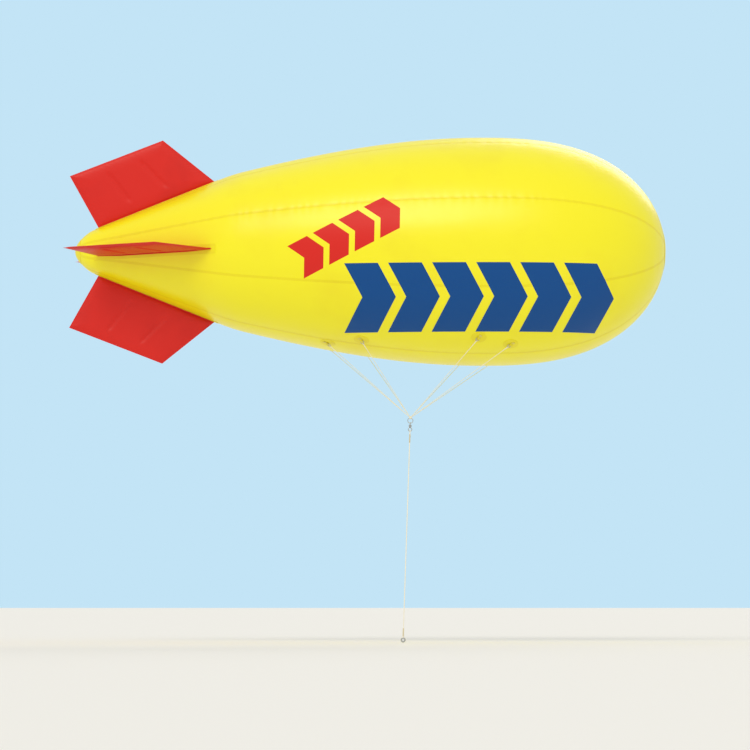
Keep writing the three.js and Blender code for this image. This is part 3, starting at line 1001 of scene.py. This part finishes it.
def keeper(load):
    """Webbing that lies on the disc, turns round the dee's bar and lies back."""
    bar = load.normal * DEE_LIFT + load.pull * (DEE_RADIUS - DEE_BAR)
    bar_at, bar_high = bar.dot(load.flat), bar.dot(load.normal)
    turn_radius = DEE_WIRE + WEB_THICK / 2 + GAP
    low = DISC_TOP + WEB_THICK / 2

    def path(t):
        if abs(t - 0.5) < KEEPER_FOLD:
            w = (t - 0.5) / (2 * KEEPER_FOLD) * math.pi
            return bar_at + turn_radius * math.cos(w), bar_high + turn_radius * math.sin(w)
        a = -KEEPER_TAIL + (bar_at + KEEPER_TAIL) * min(t, 1 - t) / (0.5 - KEEPER_FOLD)
        climb = smooth_step((a - KEEPER_LEAVES) / (bar_at - KEEPER_LEAVES))
        near, far = low, bar_high - turn_radius
        if t > 0.5:
            near, far = low + WEB_THICK + GAP, bar_high + turn_radius
        return a, near + (far - near) * climb

    def place(x, y, z):
        a, high = path(x + 0.5)
        return load.spot + load.flat * a + load.normal * high + load.across * (WEB_WIDTH * y)
    strap = lay(grid(f"keeper_{load.name}", 100, 14), place,
                lambda x, y: (y, x * WEB_LENGTH))
    clean(use(strap, "SOLIDIFY", thickness=WEB_THICK, offset=0))
    return finish(strap, webbing, "balloon")


keepers = [keeper(load) for load in loads]
print("keepers:", len(keepers))

# %% One stitch
THREAD, STITCH, STITCH_ROUND = 0.75 * mm, 3 * mm, 0.4 * mm


def stitch():
    """One stitch, rounded where it goes down into the webbing."""
    bead = primitive(bpy.ops.mesh.primitive_cylinder_add, "stitch",
                     vertices=8, radius=THREAD, depth=STITCH)
    edit(bead)
    bpy.ops.mesh.select_mode(type="FACE")
    bpy.ops.mesh.select_all(action="DESELECT")
    bpy.ops.object.mode_set(mode="OBJECT")
    for face in bead.data.polygons:
        face.select = abs(face.normal.z) > 0.9
    bpy.ops.object.mode_set(mode="EDIT")
    bpy.ops.mesh.bevel(offset=STITCH_ROUND, segments=2)
    bpy.ops.object.mode_set(mode="OBJECT")
    return bead


first_stitch = stitch()
print("faces in one stitch:", len(first_stitch.data.polygons))

# %% Sew the keepers on
STITCH_PITCH = 3.6 * mm
# The box and its diagonal, in millimetres along the keeper and across it
STITCH_BOX = [(-37, -10), (-21, -10), (-21, 10), (-37, 10), (-37, -10), (-21, 10)]


def basis(x, y, z, origin):
    """A matrix that takes a piece's own axes to these directions."""
    return Matrix((
        (x.x, y.x, z.x, origin.x), (x.y, y.y, z.y, origin.y),
        (x.z, y.z, z.z, origin.z), (0, 0, 0, 1)))


def copy_at(piece, name, matrix):
    """A copy with its own mesh, at another place."""
    made = piece.copy()
    made.data = piece.data.copy()
    made.name = made.data.name = name
    bpy.context.collection.objects.link(made)
    made.matrix_world = matrix
    return made


def stitches(load, first):
    """A box of stitches through the keeper, each a copy of one rounded bead."""
    beads = []
    high = DISC_TOP + 2 * WEB_THICK + 2 * GAP
    corners = [load.flat * a * mm + load.across * b * mm for a, b in STITCH_BOX]
    for start, end in zip(corners, corners[1:]):
        way = (end - start).normalized()
        count = int((end - start).length / STITCH_PITCH)
        for i in range(count):
            spot = load.spot + start.lerp(end, (i + 0.5) / count) + load.normal * high
            beads.append(copy_at(first, "bead", basis(load.normal.cross(way), load.normal, way, spot)))
    sewn = joined(f"stitches_{load.name}", beads)
    return finish(sewn, twine, "balloon", smooth=60)


seams = [stitches(load, first_stitch) for load in loads]
bpy.data.objects.remove(first_stitch)
print("faces in a box of stitches:", len(seams[0].data.polygons))

# %% The dees
def dee_ring():
    """A ring with one side pressed flat, where the webbing bears on it."""
    dee = primitive(bpy.ops.mesh.primitive_torus_add, "dee", major_segments=64,
                    minor_segments=16, major_radius=DEE_RADIUS, minor_radius=DEE_WIRE)
    for corner in dee.data.vertices:
        around = Vector((corner.co.x, corner.co.y, 0)).normalized() * DEE_RADIUS
        if around.x < -DEE_BAR:
            corner.co.x -= around.x + DEE_BAR
    return dee


first_dee = dee_ring()
for load, disc, strap, sewn in zip(loads, discs, keepers, seams):
    place = basis(load.pull, load.across, load.pull.cross(load.across),
                  load.rim - load.pull * DEE_RADIUS)
    dee = copy_at(first_dee, f"dee_{load.name}", place)
    finish(dee, steel, "balloon")
    gore_at(load.turn)
bpy.data.objects.remove(first_dee)

# %% [markdown]
# ## Cords
# A taut cord is a straight cylinder. A bevelled curve would do as well, but the
# cylinder's ends are closed at once, and its UV map is easily stretched to metres
# along it, so the braid has one size everywhere. At the dee the cord ends in an
# eye with a tapered splice, and at the ring all eight legs meet in one knot.

# %% Cord shapes
def standing(way, origin):
    """A matrix that stands a piece's own Z along a direction."""
    return Matrix.Translation(origin) @ way.to_track_quat("Z", "Y").to_matrix().to_4x4()


def rod(name, start, end, radius, sides=16, end_radius=None):
    """A straight round cord or cone with closed ends, mapped in metres."""
    length = (end - start).length
    piece = primitive(bpy.ops.mesh.primitive_cone_add, name, vertices=sides, radius1=radius,
                      radius2=end_radius or radius, depth=length)
    mesh = piece.data
    marks = mesh.uv_layers.active.data
    for face in mesh.polygons:
        corners = [mesh.vertices[mesh.loops[i].vertex_index].co for i in face.loop_indices]
        turns = [math.atan2(co.y, co.x) / (2 * math.pi) % 1 for co in corners]
        # The side face that crosses the map's seam runs past 1
        if max(turns) - min(turns) > 0.5 and len(turns) == 4:
            turns = [t + 1 if t < 0.5 else t for t in turns]
        for i, t, co in zip(face.loop_indices, turns, corners):
            marks[i].uv = (t, co.z + length / 2)
    piece.matrix_world = standing(end - start, (start + end) / 2)
    return piece


def loop_of_cord(name, centre, x, y, radius, cord, squeeze=1.0):
    """An eye: a ring of cord in the plane of x and y, narrower along y by squeeze."""
    piece = primitive(bpy.ops.mesh.primitive_torus_add, name, major_segments=48,
                      minor_segments=14, major_radius=radius, minor_radius=cord)
    for mark in piece.data.uv_layers.active.data:
        mark.uv = (mark.uv[1], mark.uv[0] * 2 * math.pi * radius)
    piece.matrix_world = basis(x, y * squeeze, x.cross(y), centre)
    return piece


print("tether's run:", round((FOOT - RING).length, 3), "m")

# %% Bridle legs
LEG, LEG_EYE, LEG_EYE_CORD, LEG_EYE_SQUEEZE = 2.5 * mm, 7.4 * mm, 2.25 * mm, 0.8
LEG_SPLICE, LEG_SPLICE_END = 3.75 * mm, 2.55 * mm
# Distances from the dee's rim to the eye's middle, the splice's two ends and the leg,
# and how far the leg stops short of the knot's middle
EYE_AT, SPLICE_FROM, SPLICE_TO, LEG_FROM = 2.6 * mm, 8.5 * mm, 75 * mm, 12 * mm
LEG_SHORT = 2 * mm


def bridle_leg(load):
    """A leg with its eye in the dee and its tapered splice, as one piece."""
    def along(depth):
        return load.rim + load.pull * depth

    eye = loop_of_cord("eye", along(EYE_AT), load.pull, load.pull.cross(load.across),
                       LEG_EYE, LEG_EYE_CORD, LEG_EYE_SQUEEZE)
    splice = rod("splice", along(SPLICE_FROM), along(SPLICE_TO), LEG_SPLICE,
                 end_radius=LEG_SPLICE_END)
    leg = rod("leg", along(LEG_FROM), KNOT - load.pull * LEG_SHORT, LEG)
    whole = joined(f"bridle_leg_{load.name}", [leg, eye, splice])
    return finish(whole, leg_braid, "balloon", [f"leg_{load.name}"], smooth=50)


legs = [bridle_leg(load) for load in loads]
print("bridle legs:", len(legs))

# %% [markdown]
# ## The knot and the load ring
# The eight legs are seized together and tied round the ring. One cord traced
# through a real knot would cross itself in a hundred places. The knot is a ball
# that the legs run into, wound with six turns of cord that tilt by turns, with a
# hitch each side of the ring. From outside the two look the same.

# %% Knot
KNOT_BALL, KNOT_GIRTH, KNOT_TURNS, TURN_PITCH = 9.5 * mm, 10.5 * mm, 6, 3.6 * mm
TURN_CORD, TURN_TILT, TURN_TAPER, TURN_SHIFT = 2.3 * mm, 0.12, 0.8, 1 * mm
HITCH_CORD, HITCH_RADIUS, HITCH_RISE, HITCH_ASIDE = 2.2 * mm, 6.2 * mm, 22 * mm, 5.5 * mm
up = -DOWN
sideways = Vector((0, 1, 0))
fore = sideways.cross(up)


def knot_turn(i):
    """One turn of cord round the ball, narrower towards the ball's ends."""
    high = (i - (KNOT_TURNS - 1) / 2) * TURN_PITCH
    radius = math.sqrt(KNOT_GIRTH**2 - (high * TURN_TAPER) ** 2)
    tilt = Quaternion(sideways, TURN_TILT * (-1) ** i)
    return loop_of_cord("turn", KNOT + up * (high + TURN_SHIFT), tilt @ fore, sideways,
                        radius, TURN_CORD)


def hitch(end):
    """A loop that holds the ring, on one side of the knot."""
    return loop_of_cord("hitch", RING + up * HITCH_RISE + fore * (end * HITCH_ASIDE),
                        up, sideways, HITCH_RADIUS, HITCH_CORD)


ball = primitive(bpy.ops.mesh.primitive_uv_sphere_add, "ball", segments=24, ring_count=16,
                 radius=KNOT_BALL, location=KNOT)
turns = [knot_turn(i) for i in range(KNOT_TURNS)]
knot = joined("bridle_seizing", turns + [ball, hitch(-1), hitch(1)])
finish(knot, leg_braid, "balloon", ["bridle_knot"], smooth=50)
print("faces in the knot:", len(knot.data.polygons))

# %% Load ring
RING_RADIUS, RING_WIRE = 22 * mm, 3 * mm
ring = primitive(bpy.ops.mesh.primitive_torus_add, "load_ring_round", major_segments=72,
                 minor_segments=20, major_radius=RING_RADIUS, minor_radius=RING_WIRE)
ring.matrix_world = basis(fore, up, fore.cross(up), RING)
finish(ring, steel, "balloon", ["load_ring"])
print("load ring:", round(2 * (RING_RADIUS + RING_WIRE) / mm), "mm across")

# %% [markdown]
# ## Swivel
# The swivel lets the balloon turn with the wind without twisting the tether. The
# upper half is an eye with a bored collar, and the lower half hangs in it by a
# headed shank. Stacked cylinders would leave hard steps, so each half is turned
# as on a lathe: its outline is drawn point by point and spun. A ring is joined on.

# %% A lathe
def lathe(name, profile, origin, axis, steps=40):
    """Draws an outline of (radius, height) in millimetres and spins it about an axis.

    One that starts on the axis ends on it too, and any other closes on itself.
    """
    path = [Vector((radius, 0, height)) * mm for radius, height in profile]
    if profile[0][0] > 0:
        path.append(path[0])
    piece = primitive(bpy.ops.mesh.primitive_plane_add, name, size=1)
    edit(piece)
    bpy.ops.mesh.select_mode(type="VERT")
    bpy.ops.mesh.merge(type="CENTER")
    bpy.ops.transform.translate(value=path[0])
    for here, there in zip(path, path[1:]):
        bpy.ops.mesh.extrude_region_move(TRANSFORM_OT_translate={"value": there - here})
    bpy.ops.mesh.select_all(action="SELECT")
    bpy.ops.mesh.spin(steps=steps, angle=2 * math.pi, center=(0, 0, 0), axis=(0, 0, 1))
    bpy.ops.object.mode_set(mode="OBJECT")
    piece.matrix_world = standing(axis, origin)
    return clean(piece)


def down(depth):
    """A point on the tether's line, so far below the ring."""
    return RING + DOWN * depth


print("the ring's centre:", [round(value, 3) for value in down(0)])

# %% Swivel halves
EYE_RADIUS, EYE_WIRE, LINK_GAP = 15 * mm, 3.2 * mm, 0.3 * mm
SHANK, SHANK_GAP = 28.3 * mm, 1 * mm
# Below the upper eye's middle: the collar's top, and the plane that cuts the eye off
COLLAR_AT, EYE_CUT = 6 * mm, 8 * mm
UPPER = RING_RADIUS - RING_WIRE - EYE_WIRE - LINK_GAP + EYE_RADIUS
LOWER = UPPER + SHANK + EYE_RADIUS + SHANK_GAP
# The collar has three rolled bands round it and a bore of 9.4 mm
COLLAR = [(4.7, -16), (10.8, -16), (11.6, -15.6), (12, -14.8), (12, -12.4), (11.2, -11.9),
          (11.2, -11.1), (12, -10.6), (12, -5.4), (11.2, -4.9), (11.2, -4.1), (12, -3.6),
          (12, -1.2), (11.6, -0.4), (10.8, 0), (5.2, 0), (4.7, -0.5)]
# The shank's head sits in the eye, and its foot carries the lower ring
HEADED_SHANK = [(0, -1.7), (6.6, -1.7), (7.5, -2.4), (7.5, -4.9), (6.8, -5.7), (4.2, -5.7),
                (4.2, -22.3), (9, -22.3), (10, -23.3), (10, -26.8), (8.6, -28.3), (0, -28.3)]

collar = lathe("collar", COLLAR, down(UPPER + COLLAR_AT), up)
shank = lathe("shank", HEADED_SHANK, down(UPPER), up)
upper_eye = primitive(bpy.ops.mesh.primitive_torus_add, "upper_eye", major_segments=56,
                      minor_segments=18, major_radius=EYE_RADIUS, minor_radius=EYE_WIRE)
lower_eye = copy_at(upper_eye, "lower_eye", basis(fore, up, fore.cross(up), down(LOWER)))
upper_eye.matrix_world = basis(sideways, up, sideways.cross(up), down(UPPER))
only(upper_eye)
bpy.ops.object.transform_apply(location=True, rotation=True, scale=True)
# The upper eye is cut off inside the collar, so that the shank turns free of it
edit(upper_eye)
bpy.ops.mesh.bisect(plane_co=down(UPPER + EYE_CUT), plane_no=up, clear_inner=True, use_fill=True)
bpy.ops.object.mode_set(mode="OBJECT")
clean(upper_eye, 0.05 * mm)
finish(joined("swivel_eye_upper", [collar, upper_eye]), steel, "balloon",
       ["swivel_upper"])
finish(joined("swivel_eye_lower", [shank, lower_eye]), steel, "tether",
       ["swivel_lower"])
print("swivel from", round(UPPER / mm, 1), "to", round(LOWER / mm, 1), "mm below the ring")

# %% [markdown]
# ## Tether
# The tether is one braided line with an eye spliced in each end. Waxed twine is
# wound tight over the end of each splice, which sailors call a whipping. A texture
# of rings would look flat along its edges, so the twine is one round section that
# the Screw modifier winds up. A grooved steel thimble, turned like the swivel,
# keeps the lower eye from chafing on its shackle.

# %% Tether line and eyes
CORD, TOP_LOOP, FOOT_LOOP = 4 * mm, 14 * mm, 20 * mm
SPLICE, SPLICE_HOLD, SPLICE_LAP = 48 * mm, 50 * mm, 12 * mm
SPLICE_INTO, SPLICE_WIDE, SPLICE_END, TOP_SQUEEZE = 2 * mm, 5.4 * mm, 4.4 * mm, 0.86
TOP_EYE = LOWER + EYE_RADIUS - EYE_WIRE - CORD - LINK_GAP + TOP_LOOP
FOOT_EYE = (FOOT - RING).length - FOOT_LOOP - CORD
top_end, foot_end = TOP_EYE + TOP_LOOP + SPLICE_HOLD, FOOT_EYE - FOOT_LOOP - SPLICE_HOLD
line = rod("tether_cord", down(top_end - SPLICE_LAP), down(foot_end + SPLICE_LAP), CORD, 20)
finish(line, tether_braid, "tether", ["tether_line"], smooth=50)


def spliced_eye(name, depth, loop, across, squeeze, way, node):
    """An eye with its tapered splice; way is 1 where the line runs down from it."""
    eye = loop_of_cord("eye", down(depth), up, across, loop, CORD, squeeze)
    start = depth + way * (loop - SPLICE_INTO)
    splice = rod("splice", down(start), down(start + way * SPLICE), SPLICE_WIDE, 20, SPLICE_END)
    return finish(joined(name, [eye, splice]), tether_braid, "tether", [node], smooth=50)


spliced_eye("tether_splice_top", TOP_EYE, TOP_LOOP, sideways, TOP_SQUEEZE, 1, "tether_eye_top")
spliced_eye("tether_splice_foot", FOOT_EYE, FOOT_LOOP, fore, 1, -1, "tether_eye_foot")
print("load ring to the foot:", round((FOOT - RING).length, 3), "m")

# %% Whippings
TWINE, TWINE_OUT, TWINE_PITCH, TWINE_TURNS = 0.85 * mm, 5.4 * mm, 1.6 * mm, 43
TWINE_STEPS, WHIPPING_AT = 14, 8 * mm


def whipping():
    """Twine screwed up from one round section, with its ends closed."""
    coil = primitive(bpy.ops.mesh.primitive_circle_add, "whipping", vertices=8, radius=TWINE,
                     fill_type="NGON", location=(TWINE_OUT, 0, 0), rotation=(math.pi / 2, 0, 0))
    bpy.ops.object.transform_apply(location=True, rotation=True, scale=True)
    use(coil, "SCREW", angle=2 * math.pi, screw_offset=TWINE_PITCH, iterations=TWINE_TURNS,
        steps=TWINE_STEPS, render_steps=TWINE_STEPS, axis="Z")
    lay(coil, lambda x, y, z: Vector((x, y, z - TWINE_PITCH * TWINE_TURNS / 2)))
    return clean(coil, close=8)


first_coil = whipping()
for end, middle in (("top", top_end - WHIPPING_AT), ("foot", foot_end + WHIPPING_AT)):
    coil = copy_at(first_coil, f"whipping_twine_{end}", standing(up, down(middle)))
    finish(coil, twine, "tether", [f"tether_whipping_{end}"], smooth=60)
bpy.data.objects.remove(first_coil)
print("faces in a whipping:", len(coil.data.polygons))

# %% Thimble
# One side of the outline, from the middle of the groove out to the rim and in to the bore
THIMBLE_SIDE = [(16, 0), (17.4, 3.4), (20.4, 4.8), (21, 5.6), (20.8, 6.6), (20, 7), (18.6, 7),
                (17.8, 5.6), (12.6, 5.6), (11.8, 7), (9, 7), (8.2, 6.6), (8, 6)]
groove = THIMBLE_SIDE + [(radius, -height) for radius, height in reversed(THIMBLE_SIDE[1:])]
thimble = lathe("thimble_grooved", groove, down(FOOT_EYE), sideways, 48)
finish(thimble, steel, "tether", ["tether_thimble"])
print("thimble:", [round(size / mm, 1) for size in thimble.dimensions], "mm")

# %% [markdown]
# ## Filling valve
# The valve is a moulded flange welded on the film, a short neck and a screw cap
# with grip ribs. It sits low on the port side between two fins. Both mouldings are
# round, so they are turned too. The ribs could be cut one by one, but the cap's
# wall only has to go in and out with the turn, which one cosine gives.

# %% Valve
VALVE_STATION, VALVE_TURN = 0.76, -45
CAP_RADIUS, CAP_RIBS, RIB_DEPTH = 28 * mm, 36, 0.055
FLANGE = [(0, 0.5), (54, 0.5), (55, 1.2), (54.8, 2.4), (54, 3), (50.4, 3.2), (49.8, 2.4),
          (48.6, 2.4), (48, 3.3), (44, 3.5), (43.4, 2.7), (42.2, 2.7), (41.6, 3.7), (28, 4.4),
          (23, 6.4), (20.6, 9), (20, 12), (20, 22), (0, 22)]
CAP = [(0, 25.4), (14, 25.4), (15, 25.8), (16, 27), (24.4, 27), (26.6, 26.2), (27.6, 24.8),
       (28, 23.6), (28, 18), (28, 12.4), (27.6, 11), (27.8, 9.8), (27, 9.4), (21, 9.4),
       (21, 22.6), (0, 22.6)]
valve_spot = on_film(VALVE_STATION, VALVE_TURN)
valve_way = outward(VALVE_STATION, VALVE_TURN)
flange = lathe("valve_flange", FLANGE, valve_spot, valve_way, 72)
finish(flange, plastic, "balloon", ["valve_body"])
cap = lathe("screw_cap", CAP, valve_spot, valve_way, 144)
for corner in cap.data.vertices:
    if math.hypot(corner.co.x, corner.co.y) > CAP_RADIUS - GAP:
        turn = math.atan2(corner.co.y, corner.co.x)
        rib = 1 - RIB_DEPTH * (0.5 + 0.5 * math.cos(CAP_RIBS * turn)) ** 2
        corner.co.x *= rib
        corner.co.y *= rib
finish(cap, plastic, "balloon", ["valve_cap"])
print("faces in the cap:", len(cap.data.polygons), "and in the flange:", len(flange.data.polygons))

# %% [markdown]
# ## Floor and light
# The floor is plain and pale, and the surround is a plain pale blue, which only
# the camera sees. One broad sun from behind the camera, a weaker one from the far
# side and the surround's own light keep the film evenly bright. Area lights would
# have to be as large as the hull. The pale floor lights the belly from below.

# %% Floor
floor = primitive(bpy.ops.mesh.primitive_plane_add, "floor", size=2400,
                  location=(0, 0, FLOOR - 0.5 * mm))
floor.data.materials.append(
    new_material("matt_floor_paint", Base_Color=linear("#efefec"), Roughness=0.9))
print("floor at", round(floor.location.z, 4), "m")

# %% Surround and suns
world = bpy.data.worlds.new("pale_surround")
bpy.context.scene.world = world
world.use_nodes = True
light = world.node_tree.nodes["Background"]
light.inputs["Color"].default_value = linear("#f4f6f4")
light.inputs["Strength"].default_value = 0.78
seen = add_node(world, "Background", {"Color": linear("#c3e4f6")})
rays = add_node(world, "LightPath")
mix = add_node(world, "MixShader", {}, {0: rays.outputs["Is Camera Ray"], 1: light.outputs[0],
                                        2: seen.outputs[0]})
world.node_tree.links.new(mix.outputs[0], world.node_tree.nodes["World Output"].inputs["Surface"])
# Name, strength, tilt from straight down and turn from the camera's side, in degrees
SUNS = [("key", 1.05, 52, -14), ("fill", 0.5, 60, 160)]
SUN_SPREAD = 30
for name, energy, tilt, turn in SUNS:
    bpy.ops.object.light_add(type="SUN", rotation=(math.radians(tilt), 0, math.radians(turn)))
    sun = bpy.context.object
    sun.name = f"soft_sun_{name}"
    sun.data.energy = energy
    sun.data.angle = math.radians(SUN_SPREAD)
    sun.data.color = linear("#fff3e6")[:3]
bpy.context.scene.view_settings.view_transform = "Standard"
print("suns:", [name for name, *rest in SUNS])

# %% Sizes and finish
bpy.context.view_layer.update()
faces = [sum(len(face.vertices) - 2 for face in piece.data.polygons)
         for piece in bpy.data.objects if piece.type == "MESH" and "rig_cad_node" not in piece]
